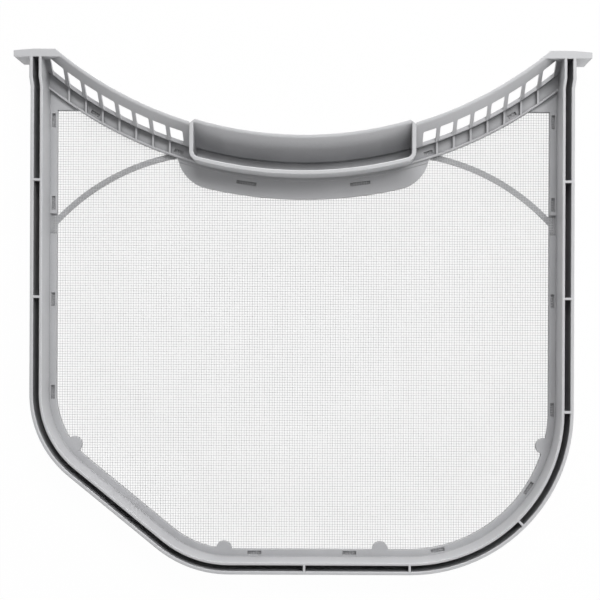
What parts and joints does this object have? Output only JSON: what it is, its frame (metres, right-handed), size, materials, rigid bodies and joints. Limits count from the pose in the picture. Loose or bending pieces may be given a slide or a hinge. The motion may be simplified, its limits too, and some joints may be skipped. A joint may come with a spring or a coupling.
{
  "type": "tumble dryer lint filter",
  "caption": "Flat moulded lint filter: a U-shaped double-wall frame with ears, a windowed curved top, a finger pocket and a fine woven screen.",
  "frame": {"origin": "centre of the bounding box on the rear face, which the filter lies on", "axes": "+X across the ears, +Y from the rounded lower end to the ears, +Z from the rear face to the open front"},
  "size_m": [0.368, 0.334, 0.024],
  "materials": {
    "frame": "fine-grained grey moulded plastic",
    "mesh_screen": "light woven plastic thread"
  },
  "bodies": {
    "root": {"frame": "frame", "mesh_screen": "mesh_screen"}
  },
  "joints": []
}
